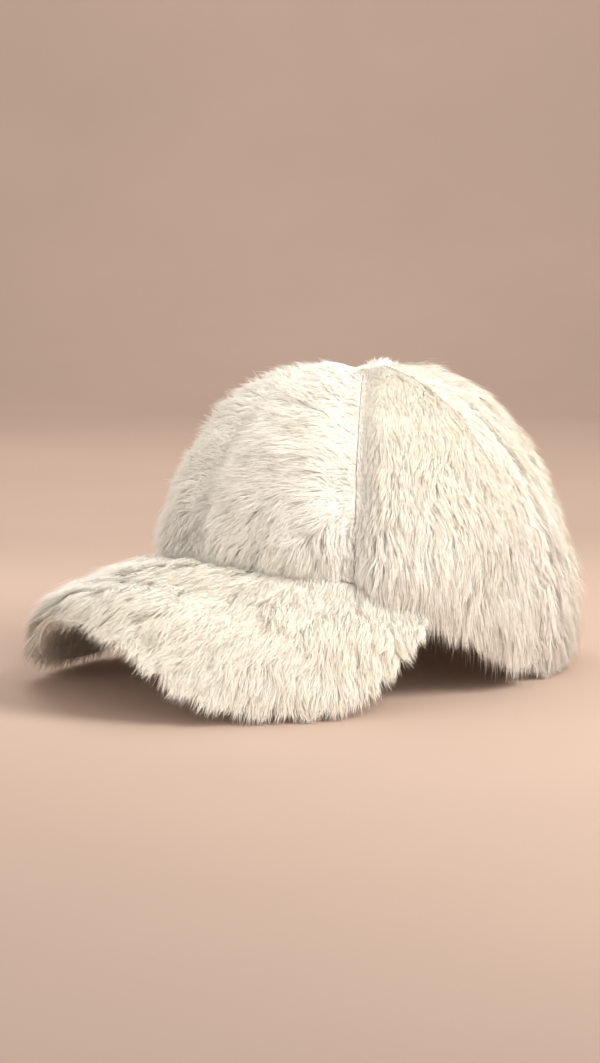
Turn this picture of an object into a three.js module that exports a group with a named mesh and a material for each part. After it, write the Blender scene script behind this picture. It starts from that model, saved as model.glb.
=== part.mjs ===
// A six-panel baseball cap in long ivory fur, resting on a table on its bill and the back of its hem.
// Units are millimetres. +Z is up, the bill points to -Y and the wearer's left is +X.
// Each piece is one closed solid: a cloth backing with the fur fused to it as rows of pointed locks.
import * as THREE from "three";

// Crown: the outside of the cloth backing, as a dome on an oval
const CROWN_HALF_WIDTH = 90;
const CROWN_HALF_LENGTH = 104;
const CROWN_WIDEST_Z = 22;
const CROWN_RISE = 128;
const DOME_POWER = 2.12;
const HEM_TUCK = 0.9;

// Hem: lifts from the back, which lies flat on the table, to the front, where the bill holds it up
const HEM_FLAT_FROM_Y = 78;
const HEM_FRONT_Y = -97;
const HEM_FRONT_Z = 62;
const HEM_FRINGE = 6.5;
const FRINGE_FROM_DEG = 73;
const FRINGE_FULL_DEG = 84;

// Cloth and fur
const WALL = 2;
const PILE = 9;
const SEAM_GAP = 0.3;
const SEAM_PINCH = 0.6;
const SEAM_WIDTH = 14;
const PANEL_PUFF = 2.4;

// Locks: rows of points that lie over the row below, as shares of the pile and of a row's height
const CROWN_ROWS = 12;
const CROWN_LOCK_WIDTH = 10;
const TIP = { lift: 1.08, reach: 0.34 };
const NOTCH = { lift: 0.82, reach: -0.22 };
const ROOT = { lift: 0.58, behind: 0.16 };
const LIFT_SPREAD = 0.14;
const REACH_SPREAD = 0.3;

// Seams of the crown's left half, as angles round from the middle of the front
const PANELS = [
  { name: "crown_front", from: 0, to: 52 },
  { name: "crown_side", from: 52, to: 109 },
  { name: "crown_back", from: 109, to: 180 },
];
const SIDES = [
  { name: "left", mirror: 1 },
  { name: "right", mirror: -1 },
];

// Dent pressed into the seam beside each front panel
const DENT = { deg: 52, up: 0.27, depth: 4, radius: 16 };

// Bill: edge of its board on the wearer's left, share of the way from the middle to the corner
const BILL_HALF_ANGLE = 71;
const BILL_EDGE = [
  { share: 0.0, x: 0, y: -175, z: 42 },
  { share: 0.2, x: 32, y: -170, z: 35 },
  { share: 0.4, x: 62, y: -154, z: 15 },
  { share: 0.6, x: 83, y: -126, z: 6.5 },
  { share: 0.8, x: 97, y: -86, z: 8.5 },
  { share: 1.0, x: 97, y: -42, z: 34 },
];
const BILL_PUFF = 5;
const BILL_TOP = { rows: 7, lockWidth: 11, pile: 8, fringe: 7, droop: 3 };
const BILL_UNDER = { rows: 5, lockWidth: 14, pile: 5 };
const BILL_RAMP = 0.42;
const BILL_TAPER = 0.16;

const IVORY = 0xf1eadb;
const FRONT_DEG = -90;
const INNER_ROWS = 8;
const INNER_COLUMNS = 6;
const BOARD_ROWS = 6;
const BOARD_COLUMNS = 26;

const radians = THREE.MathUtils.degToRad;
const lerp = THREE.MathUtils.lerp;
const ease = THREE.MathUtils.smoothstep;

// A number from -1 to 1 that is always the same for the same place
function jitter(...place) {
  const sum = place.reduce((total, value, i) => total + value * (12.9898 + 65.233 * i), 4.1414);
  const wave = Math.sin(sum) * 43758.5453;
  return 2 * (wave - Math.floor(wave)) - 1;
}

// Collects points and triangles of one closed solid, or of its mirror image across the middle of the cap
class Skin {
  constructor(mirror = 1) {
    this.mirror = mirror;
    this.places = [];
    this.triangles = [];
  }

  point(place) {
    this.places.push(this.mirror * place.x, place.y, Math.max(place.z, 0));
    return this.places.length / 3 - 1;
  }

  // A line of points, each with its share of the way along
  line(shares, place) {
    return shares.map((share) => ({ share, id: this.point(place(share)) }));
  }

  // Fills the strip between two lines that run the same way: seen from outside, low runs left to right
  strip(low, high) {
    let i = 0;
    let j = 0;
    while (i < low.length - 1 || j < high.length - 1) {
      const lowNext = i < low.length - 1 ? low[i + 1].share : Infinity;
      const highNext = j < high.length - 1 ? high[j + 1].share : Infinity;
      const takeLow = lowNext === highNext ? lowNext <= 0.5 : lowNext < highNext;
      if (takeLow) {
        this.triangles.push(low[i].id, low[i + 1].id, high[j].id);
        i += 1;
      } else {
        this.triangles.push(low[i].id, high[j + 1].id, high[j].id);
        j += 1;
      }
    }
  }

  // Fills a stack of lines, then joins its rim to the rim of the stack that closes it from behind
  close(front, back) {
    for (let k = 1; k < front.length; k += 1) this.strip(front[k - 1], front[k]);
    for (let k = 1; k < back.length; k += 1) this.strip(back[k], back[k - 1]);
    const rising = (stack, pick) =>
      stack.map((line, k) => ({ share: k / (stack.length - 1), id: pick(line).id }));
    const first = (line) => line[0];
    const last = (line) => line[line.length - 1];
    this.strip(back[0], front[0]);
    this.strip(front[front.length - 1], back[back.length - 1]);
    this.strip(rising(front, first), rising(back, first));
    this.strip(rising(back, last), rising(front, last));
  }

  mesh(name, colour) {
    const geometry = new THREE.BufferGeometry();
    geometry.setAttribute("position", new THREE.Float32BufferAttribute(this.places, 3));
    const used = [];
    for (let i = 0; i < this.triangles.length; i += 3) {
      const [a, b, c] = this.triangles.slice(i, i + 3);
      if (a !== b && b !== c && a !== c) used.push(...(this.mirror > 0 ? [a, b, c] : [a, c, b]));
    }
    geometry.setIndex(used);
    geometry.computeVertexNormals();
    const material = new THREE.MeshStandardMaterial({ color: colour, roughness: 0.95, metalness: 0 });
    const mesh = new THREE.Mesh(geometry, material);
    mesh.name = name;
    return mesh;
  }
}

// Shares from 0 to 1 in equal steps
function evenShares(steps) {
  return Array.from({ length: steps + 1 }, (_, i) => i / steps);
}

// Height of the hem at a place along the cap
function hemHeight(y) {
  return HEM_FRONT_Z * (1 - ease(y, HEM_FRONT_Y, HEM_FLAT_FROM_Y));
}

// The upright plane of the crown at an angle round from the front: its outward direction and its reach
function crownPlane(deg) {
  const turn = radians(FRONT_DEG + deg);
  const oval = new THREE.Vector3(CROWN_HALF_WIDTH * Math.cos(turn), CROWN_HALF_LENGTH * Math.sin(turn), 0);
  const hem = hemHeight(oval.y) - CROWN_WIDEST_Z;
  const low = hem < 0 ? hem / CROWN_RISE : Math.asin((hem / CROWN_RISE) ** (DOME_POWER / 2));
  return { out: oval.clone().normalize(), reach: oval.length(), low };
}

// A place on the crown: up is 0 at the hem and 1 at the top, and off is the distance out from the backing
function crownPlace(deg, up, off) {
  const { out, reach, low } = crownPlane(deg);
  const climb = lerp(low, Math.PI / 2, up);
  const round = 2 / DOME_POWER;
  const wide = climb > 0 ? Math.max(Math.cos(climb), 0) ** round : 1 - HEM_TUCK * climb * climb;
  const tall = climb > 0 ? Math.sin(climb) ** round : climb;
  const steep = DOME_POWER - 1;
  const slope = climb > 0 ? [wide ** steep / reach, tall ** steep / CROWN_RISE] : [1, 0];
  const length = Math.hypot(...slope);
  const place = out.clone().multiplyScalar(reach * wide + (off * slope[0]) / length);
  place.z = CROWN_WIDEST_Z + CROWN_RISE * tall + (off * slope[1]) / length;
  return place;
}

// One panel of the crown between two seams
function crownPanel(name, { from, to }, mirror) {
  const skin = new Skin(mirror);
  const middle = crownPlane((from + to) / 2).out;
  const sideways = [from, to].map((deg, side) => {
    const { out } = crownPlane(deg);
    return new THREE.Vector3(-out.y, out.x, 0).multiplyScalar(((side ? -1 : 1) * SEAM_GAP) / 2);
  });
  const tipInset = SEAM_GAP / 2 / Math.sin(radians(to - from) / 2);

  // A place on the panel, drawn back from both seams by half of their gap
  const place = (across, up, off) => {
    const spot = crownPlace(lerp(from, to, across), up, off);
    if (up >= 1) return spot.setX(0).setY(0).addScaledVector(middle, tipInset);
    if (across === 0) spot.add(sideways[0]);
    if (across === 1) spot.add(sideways[1]);
    return spot;
  };
  const width = (up) => crownPlace(from, up, 0).distanceTo(crownPlace(to, up, 0));

  // Distance of the fur's outside from the backing: full inside the panel, pinched at seams and dents
  const furDepth = (across, up, lift) => {
    const toSeam = Math.min(across, 1 - across) * width(up);
    const full = ease(toSeam, 0, SEAM_WIDTH);
    const spot = crownPlace(lerp(from, to, across), up, 0);
    const toDent = spot.distanceTo(crownPlace(DENT.deg, DENT.up, 0));
    const dent = DENT.depth * (1 - ease(toDent, 0, DENT.radius));
    return PILE * lift * lerp(SEAM_PINCH, 1, full) + PANEL_PUFF * full - dent;
  };

  // The fringe hangs below the hem, but not over the bill
  const fringe = (across) => HEM_FRINGE * ease(lerp(from, to, across), FRINGE_FROM_DEG, FRINGE_FULL_DEG);

  const outside = [];
  for (let row = 0; row < CROWN_ROWS; row += 1) {
    const level = row / CROWN_ROWS;
    const locks = Math.max(2, Math.round(width(level) / CROWN_LOCK_WIDTH));
    const shares = evenShares(2 * locks);
    const isTip = (share) => (Math.round(share * 2 * locks) + row) % 2 === 1;
    const wobble = (share, use) => jitter(from, row, Math.round(share * 2 * locks), use);
    const edge = (share) => {
      const shape = isTip(share) ? TIP : NOTCH;
      const reach = shape.reach * (1 + REACH_SPREAD * wobble(share, 1));
      return { lift: shape.lift * (1 + LIFT_SPREAD * wobble(share, 2)), reach };
    };
    if (row > 0) {
      outside.push(
        skin.line(shares, (share) => {
          const up = level - (edge(share).reach + ROOT.behind) / CROWN_ROWS;
          return place(share, up, furDepth(share, up, ROOT.lift));
        }),
      );
    }
    outside.push(
      skin.line(shares, (share) => {
        const { lift, reach } = edge(share);
        const up = row > 0 ? level - reach / CROWN_ROWS : 0;
        const spot = place(share, up, furDepth(share, up, lift));
        if (row === 0 && isTip(share)) spot.z -= fringe(share) * (1 + REACH_SPREAD * wobble(share, 1));
        return spot;
      }),
    );
  }
  outside.push(skin.line([0.5], () => place(0.5, 1, furDepth(0.5, 1, ROOT.lift))));

  const inside = evenShares(INNER_ROWS).map((up) =>
    skin.line(up < 1 ? evenShares(INNER_COLUMNS) : [0.5], (across) => place(across, up, -WALL)),
  );
  skin.close(outside, inside);
  return skin.mesh(name, IVORY);
}

// The edge of the bill's board as a smooth curve from the wearer's right corner to the left one
const billEdge = new THREE.CatmullRomCurve3(
  [...BILL_EDGE.slice(1).reverse().map((row) => ({ ...row, x: -row.x })), ...BILL_EDGE].map(
    (row) => new THREE.Vector3(row.x, row.y, row.z),
  ),
);

// The bill thins out towards its two corners
function taper(across) {
  return ease(Math.min(across, 1 - across), 0, BILL_TAPER);
}

// A place on the bill's board: across runs from the right corner to the left, out from crown to edge
function billPlace(across, out) {
  const seam = crownPlace(lerp(-BILL_HALF_ANGLE, BILL_HALF_ANGLE, across), 0, 0);
  seam.z -= WALL / 2 + 1.5 * SEAM_GAP;
  const edge = billEdge.getPoint(across);
  const place = seam.clone().lerp(edge, out);
  const turn = radians(lerp(-BILL_HALF_ANGLE, BILL_HALF_ANGLE, across));
  const swell = new THREE.Vector3(0.9 * Math.sin(turn), -0.45 * Math.cos(turn), 0.75);
  return place.addScaledVector(swell, BILL_PUFF * taper(across) * 6.75 * out * out * (1 - out));
}

// The way out of the board's upper face, upright at the seam with the crown
function billNormal(across, out) {
  const step = 0.01;
  const left = billPlace(Math.min(across + step, 1), out).sub(billPlace(Math.max(across - step, 0), out));
  const ahead = billPlace(across, out + step).sub(billPlace(across, out - step));
  const normal = ahead.cross(left).normalize();
  return normal.lerp(new THREE.Vector3(0, 0, 1), 1 - ease(out, 0, 0.3)).normalize();
}

// One cover of the bill: side is 1 for the upper face and -1 for the lower one
function billCover(name, side, { rows, lockWidth, pile, fringe = 0, droop = 0 }) {
  const skin = new Skin();
  const place = (across, out, off) =>
    billPlace(across, out).addScaledVector(billNormal(across, out), side * off);
  const span = (out) => {
    const middle = billPlace(0.5, out);
    return billPlace(0, out).distanceTo(middle) + middle.distanceTo(billPlace(1, out));
  };
  const reachOut = (across, out) => billPlace(across, 0).distanceTo(billPlace(across, out));
  const furDepth = (across, out, lift) => {
    const full = pile * lift * lerp(0.3, 1, taper(across));
    return WALL / 2 + Math.min(full, BILL_RAMP * reachOut(across, out));
  };
  const reversed = (line) => line.toReversed().map((spot) => ({ ...spot, share: 1 - spot.share }));
  const turned = (line) => (side > 0 ? line : reversed(line));

  const seamShares = evenShares(Math.round(span(0) / lockWidth));
  const outside = [skin.line(seamShares, (across) => place(across, 0, WALL / 2))];
  for (let row = 1; row <= rows; row += 1) {
    const level = row / rows;
    const locks = Math.round(span(level) / lockWidth);
    const shares = evenShares(2 * locks);
    const isTip = (share) => (Math.round(share * 2 * locks) + row) % 2 === 1;
    const fromCorner = (share) => Math.round(Math.min(share, 1 - share) * 2 * locks);
    const wobble = (share, use) => jitter(side, row, fromCorner(share), use);
    const edge = (share) => {
      const shape = isTip(share) ? TIP : NOTCH;
      const reach = (shape.reach * (1 + REACH_SPREAD * wobble(share, 1))) / rows;
      const lift = shape.lift * (1 + LIFT_SPREAD * wobble(share, 2));
      return { lift, out: level + (row < rows ? reach : 0) };
    };
    outside.push(
      skin.line(shares, (share) => {
        const { lift, out } = edge(share);
        const spot = place(share, out, furDepth(share, out, row < rows ? lift : lift * ROOT.lift));
        if (row === rows && fringe) {
          const ahead = billPlace(share, 1).sub(billPlace(share, 0.9)).normalize();
          spot.addScaledVector(ahead, fringe * lift * taper(share) * (isTip(share) ? 1 : 0.6));
          spot.z -= droop * lift;
        }
        return spot;
      }),
    );
    if (row < rows) {
      outside.push(
        skin.line(shares, (share) => {
          const out = edge(share).out + ROOT.behind / rows;
          return place(share, out, furDepth(share, out, ROOT.lift));
        }),
      );
    }
  }
  const board = evenShares(BOARD_ROWS).map((out) =>
    skin.line(evenShares(BOARD_COLUMNS), (across) => place(across, out, SEAM_GAP / 2)),
  );
  skin.close(outside.map(turned).toReversed(), board.map(turned).toReversed());
  return skin.mesh(name, IVORY);
}

const crown = new THREE.Group();
PANELS.forEach((panel) =>
  SIDES.forEach((side) => crown.add(crownPanel(`${panel.name}_${side.name}`, panel, side.mirror))),
);

const bill = new THREE.Group();
bill.add(billCover("bill_top", 1, BILL_TOP));
bill.add(billCover("bill_under", -1, BILL_UNDER));

// The cap stands on its lowest points with the middle of its outline over the origin
const cap = new THREE.Group();
cap.add(crown, bill);
const outline = new THREE.Box3().setFromObject(cap);
cap.position.set(0, -(outline.min.y + outline.max.y) / 2, -outline.min.z);

export default cap;
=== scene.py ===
import math

import bpy
import numpy as np
from bpy.props import FloatProperty, FloatVectorProperty, IntProperty, PointerProperty
from mathutils import Matrix, Vector


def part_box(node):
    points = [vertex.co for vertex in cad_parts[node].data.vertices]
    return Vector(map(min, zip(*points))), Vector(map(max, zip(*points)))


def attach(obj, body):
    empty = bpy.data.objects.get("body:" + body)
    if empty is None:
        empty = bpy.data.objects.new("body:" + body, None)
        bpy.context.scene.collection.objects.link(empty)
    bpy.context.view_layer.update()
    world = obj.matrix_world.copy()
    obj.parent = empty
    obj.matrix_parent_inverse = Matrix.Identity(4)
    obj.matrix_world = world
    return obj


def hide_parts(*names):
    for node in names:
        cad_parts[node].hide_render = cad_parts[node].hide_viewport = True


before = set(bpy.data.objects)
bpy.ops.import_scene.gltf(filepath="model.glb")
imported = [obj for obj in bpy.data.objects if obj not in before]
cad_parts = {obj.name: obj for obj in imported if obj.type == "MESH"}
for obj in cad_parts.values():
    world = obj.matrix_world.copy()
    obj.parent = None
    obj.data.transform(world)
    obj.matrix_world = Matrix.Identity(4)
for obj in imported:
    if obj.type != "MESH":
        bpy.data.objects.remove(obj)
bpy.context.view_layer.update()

bl_info = {
    "name": "Fur baseball cap",
    "version": (1, 0, 0),
    "blender": (4, 5, 0),
    "location": "3D View > Sidebar > Fur cap",
    "description": "Builds the fur panels of a baseball cap round its packed model",
    "category": "Object",
}

MM = 0.001
BODY = "root"
BAKE_MAP = "OFBake"
PHOTO_SIZE = (600, 1063)
SENSOR_MM = 36.0

# Edge of the bill's board on the wearer's left, in millimetres from the crown's axis
BILL_EDGE = (
    {"share": 0.0, "x": 0, "y": -175, "z": 42},
    {"share": 0.2, "x": 32, "y": -170, "z": 35},
    {"share": 0.4, "x": 62, "y": -154, "z": 15},
    {"share": 0.6, "x": 83, "y": -126, "z": 6.5},
    {"share": 0.8, "x": 97, "y": -86, "z": 8.5},
    {"share": 1.0, "x": 97, "y": -42, "z": 34},
)

# Fur by panel: strands (thousands), length at hem and at top, underfur (mm), and shares for its look
COATS = {
    "front": {
        "strands": 36, "hem": 12, "top": 12.5, "under": 2.4, "lift": 0.82,
        "pull": 0.28, "tuft": 0.24, "warm": 0.1, "wander": 1.0, "flatter": 0.0,
    },
    "side": {
        "strands": 42, "hem": 13.5, "top": 7, "under": 4.2, "lift": 0.8,
        "pull": 0.16, "tuft": 0.1, "warm": 0.55, "wander": 0.45, "flatter": 0.5,
    },
    "back": {
        "strands": 36, "hem": 13, "top": 10, "under": 2.4, "lift": 0.8,
        "pull": 0.28, "tuft": 0.16, "warm": 0.2, "wander": 0.6, "flatter": 0.1,
    },
    "bill_top": {
        "strands": 58, "hem": 10, "top": 15, "under": 2.4, "lift": 0.6,
        "pull": 0.28, "tuft": 0.24, "warm": 0.25, "wander": 0.9,
    },
    "bill_under": {
        "strands": 22, "hem": 8, "top": 11, "under": 1.0, "lift": 0.6,
        "pull": 0.3, "tuft": 0.2, "warm": 0.5, "wander": 0.8,
    },
}
# Added to the seed, so that no two panels have the same fur
SEED_STEPS = {
    "crown_front_left": 100,
    "crown_front_right": 200,
    "crown_side_left": 300,
    "crown_side_right": 400,
    "crown_back_left": 500,
    "crown_back_right": 600,
    "bill_top": 700,
    "bill_under": 800,
}
GROUP_SEEDS = {"lock": 11, "tuft": 37}
LUCK_SEED = 12
# Columns and rows of a panel and of a cover of the bill
PANEL_GRID = (28, 36)
BILL_GRID = (60, 24)
# The panels end just below the top of the crown
TOP_SHARE = 0.996
# Least thickness of the underfur, and least height of a strand above the floor
LEAST_DEPTH = 0.0004
FLOOR_CLEARANCE = 0.0002
FEWEST_FACES = 1000
BAKE_CELLS = 48
# Where on a panel a change begins and ends, as shares of the way from hem to top
PANEL_ZONES = {
    "hem": (0.0, 0.08),
    "pile": (0.0, 0.6),
    "above_bill": (0.0, 0.1),
    "warm": (0.02, 0.35),
    "pale_top": (0.7, 0.95),
    "flatter": (0.2, 0.6),
    "ribs": (0.05, 0.2),
    "ribs_end": (0.6, 0.9),
    "hanging": (0.05, 0.32),
}
# The same on the bill, as shares of the way from the crown to the edge
BILL_ZONES = {
    "seam": (0.0, 0.2),
    "upright": (0.0, 0.3),
    "pile": (0.0, 0.4),
    "thin_edge": (0.86, 1.0),
    "short_edge": (0.75, 1.0),
}
# Distance from the middle seam over which the front fur grows longer, in metres
MIDDLE_ZONE = (0.001, 0.017)
# Share of the full length or thickness where it is least
LEAST = {
    "hem": 0.25,
    "seam": 0.42,
    "above_bill": 0.5,
    "middle": 0.45,
    "bill_pile": 0.6,
    "bill_puff": 0.3,
}
# Share that is taken away at most
LOST = {"dent": 0.4, "pale_top": 0.7, "thin_edge": 0.6, "short_edge": 0.3}
RIB_HEIGHT = 0.0011
RIBS = 10.0
# Direction in which the bill's board swells, and what brings the top of its swelling to 1
SWELL = {"out": 0.9, "ahead": -0.45, "up": 0.75}
SWELL_SCALE = 6.75

# Length and lift of single strands, locks and tufts, from the least to the most
STRAND_LENGTH = (0.55, 1.2)
LOCK_LENGTH = (0.85, 1.1)
STRAND_LIFT = (0.6, 1.3)
LOCK_LIFT = (0.85, 1.15)
TUFT_LIFT = (0.75, 1.25)
TUFT_SWING = 0.3
STRAND_TWIST = 0.5
# Curve of a strand: what its share of the way along and the square of that add
AHEAD = {"share": 0.38, "square": 0.55}
RISE = {"share": 1.18, "square": -0.62}
TAPER = -0.6
GATHER_POWER = 1.25
COMB_WAVES = {"Scale": 26.0, "Detail": 2.5, "Roughness": 0.6}

# Ranges of noise or distance, and the tones that they turn into
WARM_PATCHES = {"source": (0.4, 0.68), "target": (0.0, 0.45)}
FINE_STREAKS = {"source": (0.3, 0.7), "target": (0.9, 1.05)}
FLOOR_MOTTLE = {"source": (0.3, 0.7), "target": (0.96, 1.03)}
# Painted shade on the floor: darker towards the camera, away from the pool of lamp light near the cap
FLOOR_NEAR_PAINTED_SHADE = {"source": (0.12, 0.75), "target": (1.0, 0.55)}
# Painted shade far behind the cap, where the backdrop gets less light
FLOOR_BEHIND_PAINTED_SHADE = {"source": (-0.55, -0.2), "target": (0.76, 1.0), "curve": "SMOOTHSTEP"}
# Floor in metres along the view: level from near to far, then a bend up to the top of the backdrop
FLOOR = {"near": -3.5, "far": 1.5, "bend": 0.9, "top": 4.0, "half_width": 4.0}
FLOOR_STEPS = 12
# Middle of the cap, at which the lamps point, and the place on the backdrop for the last one
LAMP_AIM = (0.0, 0.0, 0.06)
WALL_AWAY = 2.4
WALL_HEIGHT = 0.6
# Lamps: degrees round from the camera and up, then metres and watts
LAMPS = (
    {
        "name": "key", "turn": 62.0, "tilt": 40.0, "distance": 1.0,
        "size": 0.6, "power": 10.2, "colour": (1.0, 0.965, 0.92),
    },
    {
        "name": "fill", "turn": -38.0, "tilt": 14.0, "distance": 1.4,
        "size": 1.2, "power": 6.0, "colour": (1.0, 0.97, 0.94),
    },
    {
        "name": "front", "turn": 22.0, "tilt": 24.0, "distance": 1.6,
        "size": 1.0, "power": 5.5, "colour": (1.0, 0.97, 0.94),
    },
    {
        "name": "rim", "turn": -150.0, "tilt": 50.0, "distance": 1.4,
        "size": 0.8, "power": 5.0, "colour": (1.0, 0.98, 0.95),
    },
    {
        "name": "backdrop", "turn": 180.0, "tilt": 68.0, "distance": 1.6,
        "size": 1.5, "power": 25.0, "colour": (1.0, 0.96, 0.92),
    },
)
WORLD_COLOUR = (1.0, 0.95, 0.9, 1.0)
WORLD_STRENGTH = 0.5


def ease(value, low, high):
    """Runs smoothly from 0 at low to 1 at high."""
    share = np.clip((value - low) / (high - low), 0.0, 1.0)
    return share * share * (3.0 - 2.0 * share)


def at_least(low, share):
    """A share from 0 to 1, carried over to low to 1."""
    return low + (1.0 - low) * share


def unit(vectors):
    """The same directions with length 1."""
    return vectors / np.maximum(np.linalg.norm(vectors, axis=-1, keepdims=True), 1e-9)


class CAP_PG_crown(bpy.types.PropertyGroup):
    """Outside of the crown's cloth, in metres from the crown's axis."""

    half_width: FloatProperty(name="Half width", default=0.090, unit="LENGTH")
    half_length: FloatProperty(name="Half length", default=0.104, unit="LENGTH")
    widest_z: FloatProperty(name="Widest height", default=0.022, unit="LENGTH")
    rise: FloatProperty(name="Rise of the dome", default=0.128, unit="LENGTH")
    power: FloatProperty(name="Roundness", default=2.12)
    tuck: FloatProperty(name="Tuck at the hem", default=0.9)
    hem_flat_y: FloatProperty(name="Hem lies flat behind", default=0.078, unit="LENGTH")
    hem_front_y: FloatProperty(name="Hem is level before", default=-0.097, unit="LENGTH")
    hem_front_z: FloatProperty(name="Hem height at the front", default=0.062, unit="LENGTH")
    front_deg: FloatProperty(name="Seam beside the front", default=52.0)
    side_deg: FloatProperty(name="Seam behind the side", default=109.0)
    wall: FloatProperty(name="Cloth", default=0.002, unit="LENGTH")
    gap: FloatProperty(name="Gap at a seam", default=0.0003, unit="LENGTH")
    seam_width: FloatProperty(name="Groove beside a seam", default=0.014, unit="LENGTH")
    puff: FloatProperty(name="Puff of a panel", default=0.0024, unit="LENGTH")
    dent_up: FloatProperty(name="Height of the dent", default=0.27)
    dent_depth: FloatProperty(name="Depth of the dent", default=0.004, unit="LENGTH")
    dent_radius: FloatProperty(name="Radius of the dent", default=0.016, unit="LENGTH")


class CAP_PG_bill(bpy.types.PropertyGroup):
    """The bill's board, in metres from the crown's axis."""

    half_angle: FloatProperty(name="Half angle of the seam", default=71.0)
    drop: FloatProperty(name="Drop below the hem", default=0.00145, unit="LENGTH")
    puff: FloatProperty(name="Puff of the bill", default=0.005, unit="LENGTH")
    taper: FloatProperty(name="Taper at the corners", default=0.16)
    wave: FloatProperty(name="Waves in the fur", default=0.0026, unit="LENGTH")


class CAP_PG_fur(bpy.types.PropertyGroup):
    """The strands of the fur."""

    fullness: FloatProperty(name="Share of the strands", default=0.95)
    locks: FloatProperty(name="Locks a square metre", default=9.0e4)
    tufts: FloatProperty(name="Tufts a square metre", default=1.1e4)
    width: FloatProperty(name="Strand width", default=0.00026, unit="LENGTH")
    stray: FloatProperty(name="Stray of a strand", default=0.34)
    swirl: FloatProperty(name="Stray of a lock", default=0.32)
    drift: FloatProperty(name="Drift of the comb", default=0.8)
    softness: FloatProperty(name="Share of the pelt's normal", default=0.75)
    seed: IntProperty(name="Seed", default=7)
    tip_colour: FloatVectorProperty(name="Tips", subtype="COLOR", default=(0.955, 0.92, 0.85))
    # Roots and pelt: a touch warmer than the tips, and a little darker as painted shade deep in the
    # pile
    shaded_root_colour: FloatVectorProperty(name="Roots", subtype="COLOR", default=(0.945, 0.9, 0.82))
    warm_colour: FloatVectorProperty(
        name="Warm patches", subtype="COLOR", default=(0.955, 0.895, 0.745)
    )


class CAP_PG_stage(bpy.types.PropertyGroup):
    """Camera, light and floor."""

    azimuth: FloatProperty(name="Azimuth", default=51.0)
    elevation: FloatProperty(name="Elevation", default=7.0)
    distance: FloatProperty(name="Distance", default=1.3, unit="LENGTH")
    focus_px: FloatProperty(name="Focal length in photo pixels", default=2580.0)
    target_z: FloatProperty(name="Target height", default=0.080, unit="LENGTH")
    target_px: FloatVectorProperty(name="Target in the photo", size=2, default=(365.0, 509.0))
    floor_colour: FloatVectorProperty(name="Floor", subtype="COLOR", default=(0.56, 0.412, 0.33))


def crown_axis_y():
    """Where the crown's axis stands: the front panels end there."""
    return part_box("crown_front_left")[1][1]


def crown_place(crown, deg, up, off):
    """Places off metres out from the crown's cloth: deg round from the front, up from hem to top."""
    turn = np.radians(deg - 90.0)
    oval = np.stack([crown.half_width * np.cos(turn), crown.half_length * np.sin(turn)], -1)
    reach = np.linalg.norm(oval, axis=-1)
    hem = crown.hem_front_z * (1.0 - ease(oval[..., 1], crown.hem_front_y, crown.hem_flat_y))
    hem = (hem - crown.widest_z) / crown.rise
    low = np.where(hem < 0.0, hem, np.arcsin(np.clip(hem, 0.0, 1.0) ** (crown.power / 2.0)))
    climb = low + (math.pi / 2.0 - low) * up
    above = np.maximum(climb, 0.0)
    rounding = 2.0 / crown.power
    inwards = np.maximum(np.cos(above), 0.0) ** rounding
    wide = np.where(climb > 0.0, inwards, 1.0 - crown.tuck * climb**2)
    tall = np.where(climb > 0.0, np.sin(above) ** rounding, climb)
    slope_out = np.where(climb > 0.0, wide ** (crown.power - 1.0) / reach, 1.0)
    steep = np.sin(above) ** (rounding * (crown.power - 1.0)) / crown.rise
    slope_up = np.where(climb > 0.0, steep, 0.0)
    length = np.hypot(slope_out, slope_up)
    radius = reach * wide + off * slope_out / length
    height = crown.widest_z + crown.rise * tall + off * slope_up / length
    places = np.concatenate([oval / reach[..., None] * radius[..., None], height[..., None]], -1)
    places[..., 1] += crown_axis_y()
    places[..., 2] = np.maximum(places[..., 2], 0.0)
    return places


def smooth_table(rows, shares, column):
    """A column of a table with even shares, as a smooth curve through its rows."""
    values = np.array([row[column] for row in rows], float)
    steps = len(values) - 1
    at = np.clip(shares * steps, 0.0, steps - 1e-9)
    i = at.astype(int)
    t = at - i
    before = values[np.maximum(i - 1, 0)]
    first = values[i]
    second = values[i + 1]
    after = values[np.minimum(i + 2, steps)]
    bend = 2 * before - 5 * first + 4 * second - after
    twist = 3 * first - before - 3 * second + after
    return 0.5 * (2 * first + (second - before) * t + bend * t**2 + twist * t**3)


def bill_place(crown, bill, across, out):
    """Places on the bill's board: across from the right corner to the left, out from crown to edge."""
    deg = (2.0 * across - 1.0) * bill.half_angle
    seam = crown_place(crown, deg, np.zeros_like(deg), np.zeros_like(deg))
    seam[..., 2] -= bill.drop
    mirrored = tuple({**row, "x": -row["x"]} for row in reversed(BILL_EDGE[1:]))
    rows = mirrored + BILL_EDGE
    edge = np.stack([smooth_table(rows, across, key) * MM for key in "xyz"], -1)
    edge[..., 1] += crown_axis_y()
    places = seam + (edge - seam) * out[..., None]
    turn = np.radians(deg)
    level = np.full_like(turn, SWELL["up"])
    swell = np.stack([SWELL["out"] * np.sin(turn), SWELL["ahead"] * np.cos(turn), level], -1)
    corner = ease(np.minimum(across, 1.0 - across), 0.0, bill.taper)
    places += swell * (bill.puff * corner * SWELL_SCALE * out**2 * (1.0 - out))[..., None]
    return places


def lay_out(place, columns, rows):
    """A grid of places with its two tangents and the shares it was laid out by."""
    across, up = np.meshgrid(np.linspace(0.0, 1.0, columns + 1), np.linspace(0.0, 1.0, rows + 1))
    step = 1e-3
    right = place(np.clip(across + step, 0, 1), up) - place(np.clip(across - step, 0, 1), up)
    rise = place(across, np.clip(up + step, 0, 1)) - place(across, np.clip(up - step, 0, 1))
    return {
        "across": across,
        "up": up,
        "right": unit(right),
        "rise": unit(rise),
        "place": place(across, up),
    }


def grid_faces(columns, rows, start, flip):
    """Quads of a grid whose points count from start."""
    i, j = np.meshgrid(np.arange(columns), np.arange(rows))
    a = (start + j * (columns + 1) + i).ravel()
    quads = np.stack([a, a + 1, a + columns + 2, a + columns + 1], -1)
    return quads[:, ::-1] if flip else quads


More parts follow.
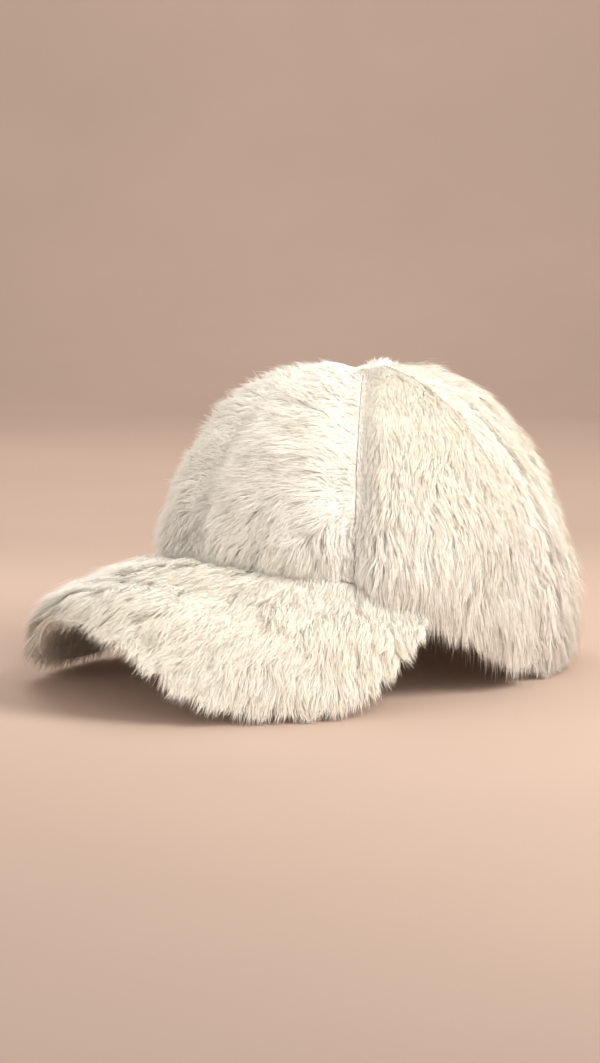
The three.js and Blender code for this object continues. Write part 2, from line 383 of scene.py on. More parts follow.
def rim_of(columns, rows):
    """Indices round the border of a grid, in order."""
    wide = columns + 1
    low = np.arange(columns)
    right = np.arange(rows) * wide + columns
    top = rows * wide + np.arange(columns, 0, -1)
    left = np.arange(rows, 0, -1) * wide
    return np.concatenate([low, right, top, left])


def pelt_mesh(name, front, back, flip, comb, pile, stand, warm):
    """A closed cloth piece: front grid with fur on it, back grid, and the border between them."""
    rows, columns = (n - 1 for n in front["across"].shape)
    count = front["across"].size
    points = np.concatenate([front["place"].reshape(-1, 3), back["place"].reshape(-1, 3)])
    rim = rim_of(columns, rows)
    following = np.roll(rim, -1)
    edge = np.stack([rim, rim + count, following + count, following], -1)
    faces = np.concatenate([
        grid_faces(columns, rows, 0, flip),
        grid_faces(columns, rows, count, not flip),
        edge[:, ::-1] if flip else edge,
    ])
    mesh = bpy.data.meshes.new(name)
    mesh.from_pydata(points.tolist(), [], faces.tolist())
    lining = np.zeros(count)
    add_attribute(mesh, "comb", "FLOAT_VECTOR", np.concatenate([comb.reshape(-1, 3)] * 2))
    add_attribute(mesh, "pile", "FLOAT", np.concatenate([pile.ravel(), lining]))
    add_attribute(mesh, "coat", "FLOAT", np.concatenate([np.ones(count), lining]))
    add_attribute(mesh, "stand", "FLOAT", np.concatenate([stand.ravel()] * 2))
    add_attribute(mesh, "warm", "FLOAT", np.concatenate([warm.ravel()] * 2))
    lay = np.stack([front["across"].ravel(), front["up"].ravel(), np.zeros(count)], -1)
    back_lay = lay + np.array([0.0, 0.0, 1.0])
    add_attribute(mesh, "lay", "FLOAT_VECTOR", np.concatenate([lay, back_lay]))
    mesh.validate()
    return mesh


def add_attribute(mesh, name, kind, values):
    """Stores one value for each point of a mesh."""
    layer = mesh.attributes.new(name, kind, "POINT")
    key = "vector" if kind == "FLOAT_VECTOR" else "value"
    layer.data.foreach_set(key, np.ascontiguousarray(values, np.float32).ravel())


class NodeDesk:
    """Places nodes in a tree and joins their sockets."""

    def __init__(self, tree):
        self.tree = tree

    def node(self, kind, inputs=None, **settings):
        node = self.tree.nodes.new(kind)
        for key, value in settings.items():
            setattr(node, key, value)
        for key, value in (inputs or {}).items():
            self.feed(node.inputs[key], value)
        return node

    def feed(self, socket, value):
        if isinstance(value, bpy.types.NodeSocket):
            self.tree.links.new(value, socket)
        elif isinstance(value, bpy.types.Node):
            self.tree.links.new(value.outputs[0], socket)
        else:
            socket.default_value = value

    def math(self, operation, *values):
        return self.node("ShaderNodeMath", dict(enumerate(values)), operation=operation).outputs[0]

    def vector(self, operation, *values):
        node = self.node("ShaderNodeVectorMath", dict(enumerate(values)), operation=operation)
        return node.outputs[0]

    def scaled(self, value, factor):
        node = self.node("ShaderNodeVectorMath", {0: value, "Scale": factor}, operation="SCALE")
        return node.outputs[0]

    def parts(self, value):
        return self.node("ShaderNodeSeparateXYZ", {0: value}).outputs

    def named(self, name, kind="FLOAT"):
        node = self.node("GeometryNodeInputNamedAttribute", {"Name": name}, data_type=kind)
        return node.outputs["Attribute"]

    def store(self, geometry, name, value, kind="FLOAT_VECTOR"):
        inputs = {"Geometry": geometry, "Name": name, "Value": value}
        node = self.node("GeometryNodeStoreNamedAttribute", inputs, data_type=kind, domain="POINT")
        return node.outputs[0]

    def random(self, seed, index):
        inputs = {0: (0, 0, 0), 1: (1, 1, 1), "ID": index, "Seed": seed}
        return self.node("FunctionNodeRandomValue", inputs, data_type="FLOAT_VECTOR").outputs[0]

    def centred(self, value, reach):
        """A number from 0 to 1 spread out to minus reach and reach."""
        middle = self.math("SUBTRACT", value, 0.5)
        return self.math("MULTIPLY", middle, self.math("MULTIPLY", reach, 2.0))

    def spread(self, value, low, high):
        """A number from 0 to 1 spread out from low to high."""
        return self.math("MULTIPLY_ADD", value, high - low, low)

    def curve(self, share, square, table):
        """A share of the way and its square, each times a number, added up."""
        straight = self.math("MULTIPLY", share, table["share"])
        return self.math("MULTIPLY_ADD", square, table["square"], straight)

    def ranged(self, value, source, target, curve="LINEAR"):
        """A number carried over from one range to another."""
        inputs = {0: value, 1: source[0], 2: source[1], 3: target[0], 4: target[1]}
        return self.node("ShaderNodeMapRange", inputs, interpolation_type=curve).outputs[0]


FUR_INPUTS = (
    ("Density", "NodeSocketFloat"),
    ("Locks", "NodeSocketFloat"),
    ("Tufts", "NodeSocketFloat"),
    ("Tuft Pull", "NodeSocketFloat"),
    ("Width", "NodeSocketFloat"),
    ("Lift", "NodeSocketFloat"),
    ("Pull", "NodeSocketFloat"),
    ("Stray", "NodeSocketFloat"),
    ("Swirl", "NodeSocketFloat"),
    ("Drift", "NodeSocketFloat"),
    ("Seed", "NodeSocketInt"),
    ("Material", "NodeSocketMaterial"),
)
STRAND_STEPS = 3
GROWING = (
    "comb",
    "pile",
    "stand",
    "coat",
    "lay",
    "root",
    "nap",
    "beside",
    "strand_luck",
    "lock_root",
    "lock_luck",
    "tuft_root",
    "tuft_luck",
)


def fur_tree():
    """Geometry nodes that grow combed, clumped strands on the coated faces of a pelt."""
    tree = bpy.data.node_groups.get("fur_coat")
    if tree:
        return tree
    tree = bpy.data.node_groups.new("fur_coat", "GeometryNodeTree")
    tree.interface.new_socket("Geometry", in_out="INPUT", socket_type="NodeSocketGeometry")
    for name, kind in FUR_INPUTS:
        tree.interface.new_socket(name, in_out="INPUT", socket_type=kind)
    tree.interface.new_socket("Geometry", in_out="OUTPUT", socket_type="NodeSocketGeometry")
    desk = NodeDesk(tree)
    given = desk.node("NodeGroupInput").outputs
    pelt = given["Geometry"]
    seed = given["Seed"]

    def scatter(density, plus):
        amount = desk.math("MULTIPLY", desk.named("coat"), density)
        inputs = {"Mesh": pelt, "Density": amount, "Seed": desk.math("ADD", seed, plus)}
        return desk.node("GeometryNodeDistributePointsOnFaces", inputs, distribute_method="RANDOM")

    roots = scatter(given["Density"], 0)
    place = desk.node("GeometryNodeInputPosition").outputs[0]
    index = desk.node("GeometryNodeInputIndex").outputs[0]
    points = desk.store(roots.outputs["Points"], "root", place)
    points = desk.store(points, "nap", roots.outputs["Normal"])
    points = desk.store(points, "strand_luck", desk.random(seed, index))
    for group, density in (("lock", given["Locks"]), ("tuft", given["Tufts"])):
        plus = GROUP_SEEDS[group]
        middles = scatter(density, plus).outputs["Points"]
        nearest = desk.node("GeometryNodeSampleNearest", {"Geometry": middles}, domain="POINT")
        middle = desk.node(
            "GeometryNodeSampleIndex",
            {"Geometry": middles, "Value": place, "Index": nearest},
            data_type="FLOAT_VECTOR",
            domain="POINT",
        )
        points = desk.store(points, group + "_root", middle)
        luck = desk.random(desk.math("ADD", seed, plus + LUCK_SEED), nearest.outputs[0])
        points = desk.store(points, group + "_luck", luck)

    # One strand: a flat ribbon, known by its share of the way along and across
    ribbon = desk.node(
        "GeometryNodeMeshGrid",
        {"Size X": 1.0, "Size Y": 1.0, "Vertices X": 2, "Vertices Y": STRAND_STEPS},
    ).outputs["Mesh"]
    ribbon_parts = desk.parts(place)
    share = desk.math("ADD", ribbon_parts["Y"], 0.5)
    narrow = desk.math("MULTIPLY", ribbon_parts["X"], desk.math("LESS_THAN", share, 0.99))
    ribbon = desk.store(ribbon, "along", share, "FLOAT")
    ribbon = desk.store(ribbon, "beside", narrow, "FLOAT")
    pointed = desk.node("ShaderNodeCombineXYZ", {"X": narrow, "Y": ribbon_parts["Y"], "Z": 0.0})
    ribbon = desk.node("GeometryNodeSetPosition", {"Geometry": ribbon, "Position": pointed})
    ribbon = desk.node("GeometryNodeMergeByDistance", {"Geometry": ribbon, "Distance": 0.001})
    strands = desk.node("GeometryNodeInstanceOnPoints", {"Points": points, "Instance": ribbon})
    strands = desk.node("GeometryNodeRealizeInstances", {"Geometry": strands}).outputs[0]

    # The strand rises from its root, bends over along the comb and gathers to its lock and its tuft
    along = desk.named("along")
    root = desk.named("root", "FLOAT_VECTOR")
    nap = desk.named("nap", "FLOAT_VECTOR")
    comb = desk.named("comb", "FLOAT_VECTOR")
    own = desk.parts(desk.named("strand_luck", "FLOAT_VECTOR"))
    shared = desk.parts(desk.named("lock_luck", "FLOAT_VECTOR"))
    tuft = desk.parts(desk.named("tuft_luck", "FLOAT_VECTOR"))
    waves = desk.node("ShaderNodeTexNoise", {"Vector": root, **COMB_WAVES})
    aside = desk.vector("CROSS_PRODUCT", nap, comb)
    swing = desk.centred(own["X"], given["Stray"])
    swing = desk.math("ADD", swing, desk.centred(shared["X"], given["Swirl"]))
    swing = desk.math("ADD", swing, desk.centred(waves.outputs[0], given["Drift"]))
    swing = desk.math("ADD", swing, desk.centred(tuft["X"], TUFT_SWING))
    lay = desk.vector("NORMALIZE", desk.vector("ADD", comb, desk.scaled(aside, swing)))
    length = desk.math("MULTIPLY", desk.named("pile"), desk.spread(shared["Z"], *LOCK_LENGTH))
    length = desk.math("MULTIPLY", length, desk.spread(own["Z"], *STRAND_LENGTH))
    lift = desk.math("MULTIPLY", given["Lift"], desk.spread(shared["Y"], *LOCK_LIFT))
    lift = desk.math("MULTIPLY", lift, desk.named("stand"))
    lift = desk.math("MULTIPLY", lift, desk.spread(tuft["Y"], *TUFT_LIFT))
    lift = desk.math("MULTIPLY", lift, desk.spread(own["Y"], *STRAND_LIFT))
    square = desk.math("MULTIPLY", along, along)
    ahead = desk.curve(along, square, AHEAD)
    rise = desk.math("MULTIPLY", lift, desk.curve(along, square, RISE))
    sweep = desk.vector("ADD", desk.scaled(lay, ahead), desk.scaled(nap, rise))
    gather = desk.math("MULTIPLY", given["Pull"], desk.math("POWER", along, GATHER_POWER))
    lock_root = desk.named("lock_root", "FLOAT_VECTOR")
    drawn = desk.scaled(desk.vector("SUBTRACT", lock_root, root), gather)
    bunch = desk.math("MULTIPLY", given["Tuft Pull"], square)
    tuft_root = desk.named("tuft_root", "FLOAT_VECTOR")
    bunched = desk.scaled(desk.vector("SUBTRACT", tuft_root, root), bunch)
    drawn = desk.vector("ADD", drawn, bunched)
    spine = desk.vector("ADD", desk.vector("ADD", root, drawn), desk.scaled(sweep, length))
    twist = desk.centred(own["Y"], STRAND_TWIST)
    flat = desk.vector("CROSS_PRODUCT", lay, nap)
    flat = desk.vector("NORMALIZE", desk.vector("ADD", flat, desk.scaled(nap, twist)))
    taper = desk.math("MULTIPLY_ADD", square, TAPER, 1.0)
    half = desk.math("MULTIPLY", desk.math("MULTIPLY", given["Width"], taper), desk.named("beside"))
    spot = desk.vector("ADD", spine, desk.scaled(flat, half))
    strands = desk.node("GeometryNodeSetPosition", {"Geometry": strands, "Position": spot}).outputs[0]

    joined = desk.node("GeometryNodeJoinGeometry")
    tree.links.new(strands, joined.inputs[0])
    tree.links.new(pelt, joined.inputs[0])
    whole = desk.node("GeometryNodeRealizeInstances", {"Geometry": joined})
    finished = desk.node("GeometryNodeSetMaterial", {"Geometry": whole, "Material": given["Material"]})
    result = desk.node("NodeGroupOutput")
    tree.links.new(finished.outputs[0], result.inputs[0])
    return tree


def fur_material(fur):
    """Ivory fur: warmer at the roots, and a little darker there and on the pelt as painted shade deep
    in the pile, with soft warm patches and a silky sheen.
    """
    material = bpy.data.materials.get("ivory_fur")
    if material:
        return material
    material = bpy.data.materials.new("ivory_fur")
    material.use_nodes = True
    tree = material.node_tree
    tree.nodes.clear()
    desk = NodeDesk(tree)
    along = desk.node("ShaderNodeAttribute", attribute_name="along").outputs["Fac"]
    where = desk.node("ShaderNodeTexCoord").outputs["Object"]
    patches = desk.node("ShaderNodeTexNoise", {"Vector": where, "Scale": 16.0, "Detail": 3.0})
    fine = desk.node("ShaderNodeTexNoise", {"Vector": where, "Scale": 420.0, "Detail": 1.0})
    own = desk.node("ShaderNodeAttribute", attribute_name="warm").outputs["Fac"]
    mottle = desk.ranged(patches.outputs[0], **WARM_PATCHES)
    warm = desk.node("ShaderNodeMath", {0: own, 1: mottle}, operation="ADD", use_clamp=True)
    tips = desk.node(
        "ShaderNodeMix",
        {0: warm, 6: (*fur.tip_colour, 1.0), 7: (*fur.warm_colour, 1.0)},
        data_type="RGBA",
    )
    # Painted shade: the colour darkens from the tips down to the roots and the pelt
    reach = desk.math("POWER", along, 0.6)
    blend = desk.node(
        "ShaderNodeMix",
        {0: reach, 6: (*fur.shaded_root_colour, 1.0), 7: tips.outputs[2]},
        data_type="RGBA",
    )
    colour = desk.scaled(blend.outputs[2], desk.ranged(fine.outputs[0], **FINE_STREAKS))
    shader = desk.node(
        "ShaderNodeBsdfPrincipled",
        {
            "Base Color": colour,
            "Roughness": 0.62,
            "Specular IOR Level": 0.3,
            "Sheen Weight": 0.35,
            "Sheen Roughness": 0.45,
        },
    )
    result = desk.node("ShaderNodeOutputMaterial")
    tree.links.new(shader.outputs[0], result.inputs["Surface"])
    return material


def read_points(mesh, name, size):
    """One attribute of a mesh as an array."""
    values = np.zeros(len(mesh.vertices) * size, np.float32)
    mesh.attributes[name].data.foreach_get("vector" if size == 3 else "value", values)
    return values.reshape(-1, size) if size > 1 else values


def bake_map(mesh, is_strand):
    """Gives strands and pelt a map by where they grow, so that a bake keeps the colours in place."""
    lay = read_points(mesh, "lay", 3)
    along = read_points(mesh, "along", 1)
    beside = read_points(mesh, "beside", 1)
    cell = np.minimum(np.floor(lay[:, :2] * BAKE_CELLS), BAKE_CELLS - 1)
    strand = np.stack([cell[:, 0] + 0.5 + 0.7 * beside, cell[:, 1] + 0.12 + 0.76 * along], -1)
    strand = strand / BAKE_CELLS * np.array([1.0, 0.75])
    flat = np.stack([(lay[:, 0] * 0.96 + 0.02 + lay[:, 2]) / 2.0, 0.77 + 0.21 * lay[:, 1]], -1)
    places = np.where(is_strand[:, None], strand, flat)
    corners = np.zeros(len(mesh.loops), np.int32)
    mesh.loops.foreach_get("vertex_index", corners)
    layer = mesh.uv_layers.new(name=BAKE_MAP)
    layer.data.foreach_set("uv", np.ascontiguousarray(places[corners], np.float32).ravel())


def soften(mesh, nap, is_strand, share):
    """Turns the normals of strands towards those of the pelt, so that fur shades softly."""
    own = np.zeros(len(mesh.vertices) * 3, np.float32)
    mesh.vertex_normals.foreach_get("vector", own)
    own = own.reshape(-1, 3)
    mixed = unit(own * (1.0 - share) + nap * share)
    mesh.normals_split_custom_set_from_vertices(np.where(is_strand[:, None], mixed, own).tolist())


def pelt_area(mesh):
    """Area of the coated faces of a pelt."""
    coat = read_points(mesh, "coat", 1)
    return sum(face.area for face in mesh.polygons if all(coat[i] > 0.5 for i in face.vertices))


def grow(context, node, pelt, kind):
    """Grows fur on a pelt and leaves one plain mesh that stands for a CAD node."""
    fur = context.scene.cap_fur
    coat = COATS[kind]
    wander = coat["wander"]
    piece = bpy.data.objects.new("fur_" + node, pelt)
    context.scene.collection.objects.link(piece)
    modifier = piece.modifiers.new("fur", "NODES")
    modifier.node_group = fur_tree()
    thin = 1.0
    values = {
        "Density": coat["strands"] * 1000.0 * fur.fullness * thin / pelt_area(pelt),
        "Locks": fur.locks,
        "Tufts": fur.tufts,
        "Tuft Pull": coat["tuft"],
        "Width": fur.width,
        "Lift": coat["lift"],
        "Pull": coat["pull"],
        "Stray": fur.stray * wander,
        "Swirl": fur.swirl * wander,
        "Drift": fur.drift * wander,
        "Seed": fur.seed + SEED_STEPS[node],
        "Material": fur_material(fur),
    }
    for item in modifier.node_group.interface.items_tree:
        if item.in_out == "INPUT" and item.name in values:
            modifier[item.identifier] = values[item.name]
    context.view_layer.update()
    graph = context.evaluated_depsgraph_get()
    mesh = bpy.data.meshes.new_from_object(piece.evaluated_get(graph))
    piece.modifiers.clear()
    piece.data = mesh
    bpy.data.meshes.remove(pelt)
    if len(mesh.polygons) < FEWEST_FACES:
        raise RuntimeError(node + ": no fur grew")
    spots = np.zeros(len(mesh.vertices) * 3, np.float32)
    mesh.vertices.foreach_get("co", spots)
    spots = spots.reshape(-1, 3)
    spots[:, 2] = np.maximum(spots[:, 2], FLOOR_CLEARANCE)
    mesh.vertices.foreach_set("co", spots.ravel())
    nap = read_points(mesh, "nap", 3)
    is_strand = np.linalg.norm(nap, axis=1) > 0.5
    bake_map(mesh, is_strand)
    for name in GROWING:
        mesh.attributes.remove(mesh.attributes[name])
    mesh.shade_smooth()
    mesh.update()
    soften(mesh, nap, is_strand, fur.softness)
    mesh.name = piece.name
    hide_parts(node)
    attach(piece, BODY)
    return piece


def crown_panel(context, kind, side, comb_of):
    """One fur panel of the crown: side is 1 for the wearer's left and -1 for the right."""
    crown = context.scene.cap_crown
    seams = {
        "front": (0.0, crown.front_deg),
        "side": (crown.front_deg, crown.side_deg),
        "back": (crown.side_deg, 180.0),
    }
    start, stop = seams[kind]
    coat = COATS[kind]

    def place_at(off):
        def place(across, up):
            deg = side * (start + (stop - start) * across)
            return crown_place(crown, deg, np.minimum(up, TOP_SHARE), np.full_like(deg, off))

        return place

    bare = lay_out(place_at(0.0), *PANEL_GRID)
    across, up = bare["across"], bare["up"]
    wide = np.linalg.norm(bare["place"][:, -1] - bare["place"][:, 0], axis=-1)[:, None]
    to_seam = np.minimum(across, 1.0 - across) * wide
    full = ease(to_seam, 0.0, crown.seam_width)
    round_hem = at_least(LEAST["hem"], ease(up, *PANEL_ZONES["hem"]))
    dent_deg = np.array(side * crown.front_deg)
    dent_at = crown_place(crown, dent_deg, np.array(crown.dent_up), np.array(0.0))
    dent = 1.0 - ease(np.linalg.norm(bare["place"] - dent_at, axis=-1), 0.0, crown.dent_radius)
    depth = (crown.puff + coat["under"] * MM) * full * round_hem + ribs_of(kind, across, up) * full
    depth = depth + lumps(bare["place"]) * full * round_hem - crown.dent_depth * dent
    depth = np.maximum(depth, LEAST_DEPTH)
    out = unit(place_at(0.01)(across, up) - bare["place"])
    front = dict(bare)
    front["place"] = bare["place"] + out * depth[..., None]
    front["place"][..., 2] = np.maximum(front["place"][..., 2], 0.0)
    back = dict(bare)
    back["place"] = place_at(-crown.wall)(across, up)
    for grid in (front, back):
        for column, sign in ((0, 1.0), (-1, -1.0)):
            grid["place"][:, column] += bare["right"][:, column] * sign * crown.gap / 2.0
    sideways, down = comb_of(across, up)
    comb = unit(bare["right"] * sideways[..., None] - bare["rise"] * down[..., None])
    pile = pile_length(coat, up, PANEL_ZONES)
    pile = pile * at_least(LEAST["seam"], full) * (1.0 - LOST["dent"] * dent)
    if kind == "front":
        pile = pile * at_least(LEAST["above_bill"], ease(up, *PANEL_ZONES["above_bill"]))
        pile = pile * at_least(LEAST["middle"], ease(across * wide, *MIDDLE_ZONE))
    node = "crown_%s_%s" % (kind, "left" if side > 0 else "right")
    warm = coat["warm"] * ease(up, *PANEL_ZONES["warm"]) * full
    warm = warm * (1.0 - LOST["pale_top"] * ease(up, *PANEL_ZONES["pale_top"]))
    stand = 1.0 - coat["flatter"] * ease(up, *PANEL_ZONES["flatter"])
    pelt = pelt_mesh(node, front, back, side < 0, comb, pile, stand, warm)
    return grow(context, node, pelt, kind)


def pile_length(coat, share, zones):
    """Length of the fur in metres, as it changes along a panel."""
    return (coat["hem"] + (coat["top"] - coat["hem"]) * ease(share, *zones["pile"])) * MM


def lumps(places):
    """Soft hills in the underfur, up to about a millimetre high."""
    x, y, z = np.moveaxis(places, -1, 0)
    hills = np.sin(118.0 * x + 1.9 * np.sin(74.0 * z))
    hills = hills * np.sin(96.0 * z + 1.7 * np.sin(83.0 * y) + 0.6)
    return 0.0007 * hills + 0.0005 * np.sin(210.0 * y + 160.0 * z + 2.0 * np.sin(130.0 * x))


def ribs_of(kind, across, up):
    """Upright ribs in the fur of the back panels."""
    if kind != "back":
        return np.zeros_like(across)
    ribs = RIB_HEIGHT * np.cos(2.0 * math.pi * across * RIBS)
    return ribs * ease(up, *PANEL_ZONES["ribs"]) * (1.0 - ease(up, *PANEL_ZONES["ribs_end"]))


def front_comb(side):
    """Fur of the front panels runs to the wearer's right, and hangs down above the bill."""

    def comb(across, up):
        hang = 1.0 - ease(up, *PANEL_ZONES["hanging"])
        sideways = np.full_like(across, -1.0 if side > 0 else 0.8)
        return sideways * (1.0 - 0.75 * hang), 0.15 + 1.1 * hang

    return comb


def falling_comb(across, up):
    """Fur that hangs down, leaning a little forwards."""
    return -0.1 * np.sin(math.pi * across) - 0.05 * up, np.ones_like(up)


class CAP_OT_crown_front(bpy.types.Operator):
    """Builds the two front panels of the crown"""

    bl_idname = "cap.crown_front"
    bl_label = "Front panels"

    def execute(self, context):
        for side in (1, -1):
            crown_panel(context, "front", side, front_comb(side))
        return {"FINISHED"}


class CAP_OT_crown_side(bpy.types.Operator):
    """Builds the two side panels of the crown"""

    bl_idname = "cap.crown_side"
    bl_label = "Side panels"

    def execute(self, context):
        for side in (1, -1):
            crown_panel(context, "side", side, falling_comb)
        return {"FINISHED"}


class CAP_OT_crown_back(bpy.types.Operator):
    """Builds the two back panels of the crown"""

    bl_idname = "cap.crown_back"
    bl_label = "Back panels"

    def execute(self, context):
        for side in (1, -1):
            crown_panel(context, "back", side, falling_comb)
        return {"FINISHED"}


def bill_waves(bill, across, out):
    """Waves that run along the fur of the bill's upper face."""
    swing = out * 1.9 + 0.3 * np.sin(across * 9.0 + 0.6) + 0.12 * np.sin(across * 23.0)
    return np.sin(2.0 * math.pi * swing) * bill.wave * (0.6 + 0.4 * np.sin(across * 14.0))


def bill_cover(context, node, side):
    """One fur cover of the bill: side is 1 for the upper face and -1 for the lower one."""
    crown = context.scene.cap_crown
    bill = context.scene.cap_bill
    coat = COATS[node]

    def place(across, out):
        return bill_place(crown, bill, across, out)

    bare = lay_out(place, *BILL_GRID)
    across, out = bare["across"], bare["up"]
    normal = unit(np.cross(bare["rise"], bare["right"]))
    normal *= np.where(normal[..., 2:] < 0.0, -1.0, 1.0)
    upright = 1.0 - ease(out, *BILL_ZONES["upright"])
    normal = unit(normal + np.array([0.0, 0.0, 1.0]) * upright[..., None])
    corner = ease(np.minimum(across, 1.0 - across), 0.0, bill.taper)
    thin_edge = 1.0 - LOST["thin_edge"] * ease(out, *BILL_ZONES["thin_edge"])
    full = ease(out, *BILL_ZONES["seam"]) * thin_edge * at_least(LEAST["bill_puff"], corner)
    wave = bill_waves(bill, across, out) if side > 0 else 0.0
    depth = crown.wall * 0.5 + (coat["under"] * MM + wave) * full
    front = dict(bare)
    back = dict(bare)
    front["place"] = bare["place"] + normal * (side * depth)[..., None]
    back["place"] = bare["place"] + normal * (side * crown.gap / 2.0)
    comb = unit(bare["rise"] + np.array([0.0, 0.0, -0.15]))
    short_edge = 1.0 - LOST["short_edge"] * ease(out, *BILL_ZONES["short_edge"])
    pile = pile_length(coat, out, BILL_ZONES) * at_least(LEAST["bill_pile"], corner) * short_edge
    warm = np.full_like(out, coat["warm"])
    stand = np.ones_like(out)
    pelt = pelt_mesh(node, front, back, side > 0, comb, pile, stand, warm)
    return grow(context, node, pelt, node)


class CAP_OT_bill_top(bpy.types.Operator):
    """Builds the fur cover of the bill's upper face"""

    bl_idname = "cap.bill_top"
    bl_label = "Bill, upper cover"

    def execute(self, context):
        bill_cover(context, "bill_top", 1)
        return {"FINISHED"}


class CAP_OT_bill_under(bpy.types.Operator):
    """Builds the fur cover of the bill's lower face"""

    bl_idname = "cap.bill_under"
    bl_label = "Bill, lower cover"

    def execute(self, context):
        bill_cover(context, "bill_under", -1)
        return {"FINISHED"}


def sweep_floor(scene):
    """A pale floor that curves up into a backdrop, with painted shade towards the camera and far
    behind the cap.
    """
    stage = scene.cap_stage
    far, bend, half = FLOOR["far"], FLOOR["bend"], FLOOR["half_width"]
    profile = [(FLOOR["near"], 0.0), (far, 0.0)]
    for step in range(1, FLOOR_STEPS + 1):
        turn = math.radians(90.0 * step / FLOOR_STEPS)
        profile.append((far + bend * math.sin(turn), bend * (1.0 - math.cos(turn))))
    profile.append((far + bend, FLOOR["top"]))
    points = [(x, y, z) for x in (-half, half) for y, z in profile]
    count = len(profile)
    faces = [(i, i + count, i + count + 1, i + 1) for i in range(count - 1)]
    mesh = bpy.data.meshes.new("floor")
    mesh.from_pydata(points, [], faces)
    mesh.shade_smooth()
    turned = Matrix.Rotation(math.radians(stage.azimuth), 4, "Z")
    mesh.transform(turned)
    material = bpy.data.materials.new("pale_floor")
    material.use_nodes = True
    desk = NodeDesk(material.node_tree)
    shader = material.node_tree.nodes["Principled BSDF"]
    where = desk.node("ShaderNodeTexCoord").outputs["Object"]
    mottle = desk.node("ShaderNodeTexNoise", {"Vector": where, "Scale": 3.0, "Detail": 4.0})
    turn = math.radians(stage.azimuth)
    towards = (math.sin(turn), -math.cos(turn), 0.0)
    dot = desk.node("ShaderNodeVectorMath", {0: where, 1: towards}, operation="DOT_PRODUCT")
    ahead = dot.outputs["Value"]
    # Random mottle times painted shade that darkens the floor towards the camera
    floor_mottle_and_shade = desk.math(
        "MULTIPLY",
        desk.ranged(mottle.outputs[0], **FLOOR_MOTTLE),
        desk.ranged(ahead, **FLOOR_NEAR_PAINTED_SHADE),
    )
    # Painted shade far behind the cap, where the backdrop gets less light
    floor_mottle_and_shade = desk.math("MULTIPLY", floor_mottle_and_shade, desk.ranged(ahead, **FLOOR_BEHIND_PAINTED_SHADE))
    desk.feed(shader.inputs["Base Color"], desk.scaled(tuple(stage.floor_colour), floor_mottle_and_shade))
    shader.inputs["Roughness"].default_value = 0.75
    mesh.materials.append(material)
    floor = bpy.data.objects.new("floor", mesh)
    scene.collection.objects.link(floor)


def direction(azimuth, elevation):
    """Points from the cap to a place azimuth degrees round from its front and elevation degrees up."""
    turn, tilt = math.radians(azimuth), math.radians(elevation)
    return Vector((math.sin(turn) * math.cos(tilt), -math.cos(turn) * math.cos(tilt), math.sin(tilt)))


def add_lamp(scene, lamp_row, aim):
    """A soft round lamp beside the cap that faces a place."""
    data = bpy.data.lights.new(lamp_row["name"], "AREA")
    data.shape = "DISK"
    data.size = lamp_row["size"]
    data.energy = lamp_row["power"]
    data.color = lamp_row["colour"]
    lamp = bpy.data.objects.new(lamp_row["name"], data)
    way = direction(scene.cap_stage.azimuth + lamp_row["turn"], lamp_row["tilt"])
    lamp.location = Vector(LAMP_AIM) + way * lamp_row["distance"]
    lamp.rotation_euler = (lamp.location - Vector(aim)).to_track_quat("Z", "Y").to_euler()
    scene.collection.objects.link(lamp)


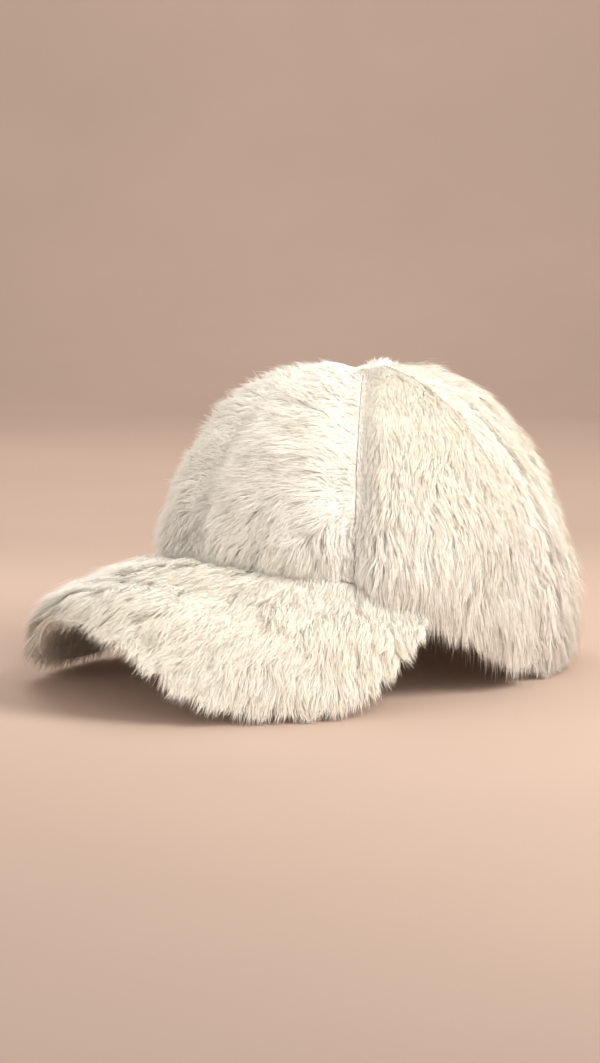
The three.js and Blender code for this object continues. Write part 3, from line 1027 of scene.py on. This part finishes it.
class CAP_OT_stage(bpy.types.Operator):
    """Sets up the floor, the light and the camera"""

    bl_idname = "cap.stage"
    bl_label = "Stage"

    def execute(self, context):
        scene = context.scene
        stage = scene.cap_stage
        sweep_floor(scene)
        turn = math.radians(stage.azimuth)
        wall = (-WALL_AWAY * math.sin(turn), WALL_AWAY * math.cos(turn), WALL_HEIGHT)
        for lamp_row in LAMPS:
            add_lamp(scene, lamp_row, wall if lamp_row["name"] == "backdrop" else LAMP_AIM)
        world = bpy.data.worlds.new("studio")
        world.use_nodes = True
        ground = world.node_tree.nodes["Background"]
        ground.inputs["Color"].default_value = WORLD_COLOUR
        ground.inputs["Strength"].default_value = WORLD_STRENGTH
        scene.world = world
        data = bpy.data.cameras.new("camera")
        data.sensor_width = SENSOR_MM
        longest = max(PHOTO_SIZE)
        data.lens = stage.focus_px / longest * SENSOR_MM
        data.shift_x = (PHOTO_SIZE[0] / 2 - stage.target_px[0]) / longest
        data.shift_y = (stage.target_px[1] - PHOTO_SIZE[1] / 2) / longest
        data.clip_start = 0.05
        camera = bpy.data.objects.new("camera", data)
        way = direction(stage.azimuth, stage.elevation)
        target = Vector((0.0, crown_axis_y(), stage.target_z))
        camera.location = target + way * stage.distance
        camera.rotation_euler = way.to_track_quat("Z", "Y").to_euler()
        scene.collection.objects.link(camera)
        scene.camera = camera
        scene.view_settings.view_transform = "Standard"
        scene.view_settings.look = "None"
        return {"FINISHED"}


class CAP_PT_panel(bpy.types.Panel):
    """Sizes and steps of the fur cap"""

    bl_idname = "CAP_PT_panel"
    bl_label = "Fur cap"
    bl_space_type = "VIEW_3D"
    bl_region_type = "UI"
    bl_category = "Fur cap"

    def draw(self, context):
        for key in ("cap_crown", "cap_bill", "cap_fur", "cap_stage"):
            group = getattr(context.scene, key)
            box = self.layout.box()
            for name in group.__annotations__:
                box.prop(group, name)
        for step in STEPS:
            self.layout.operator(step)


CLASSES = (
    CAP_PG_crown,
    CAP_PG_bill,
    CAP_PG_fur,
    CAP_PG_stage,
    CAP_OT_crown_front,
    CAP_OT_crown_side,
    CAP_OT_crown_back,
    CAP_OT_bill_top,
    CAP_OT_bill_under,
    CAP_OT_stage,
    CAP_PT_panel,
)
SETTINGS = {
    "cap_crown": CAP_PG_crown,
    "cap_bill": CAP_PG_bill,
    "cap_fur": CAP_PG_fur,
    "cap_stage": CAP_PG_stage,
}
STEPS = (
    "cap.stage",
    "cap.crown_front",
    "cap.crown_side",
    "cap.crown_back",
    "cap.bill_top",
    "cap.bill_under",
)


def register():
    for item in CLASSES:
        bpy.utils.register_class(item)
    for key, group in SETTINGS.items():
        setattr(bpy.types.Scene, key, PointerProperty(type=group))


def unregister():
    for key in SETTINGS:
        delattr(bpy.types.Scene, key)
    for item in reversed(CLASSES):
        bpy.utils.unregister_class(item)


def main():
    register()
    bpy.ops.cap.stage()
    bpy.ops.cap.crown_front()
    bpy.ops.cap.crown_side()
    bpy.ops.cap.crown_back()
    bpy.ops.cap.bill_top()
    bpy.ops.cap.bill_under()


if __name__ == "__main__":
    main()
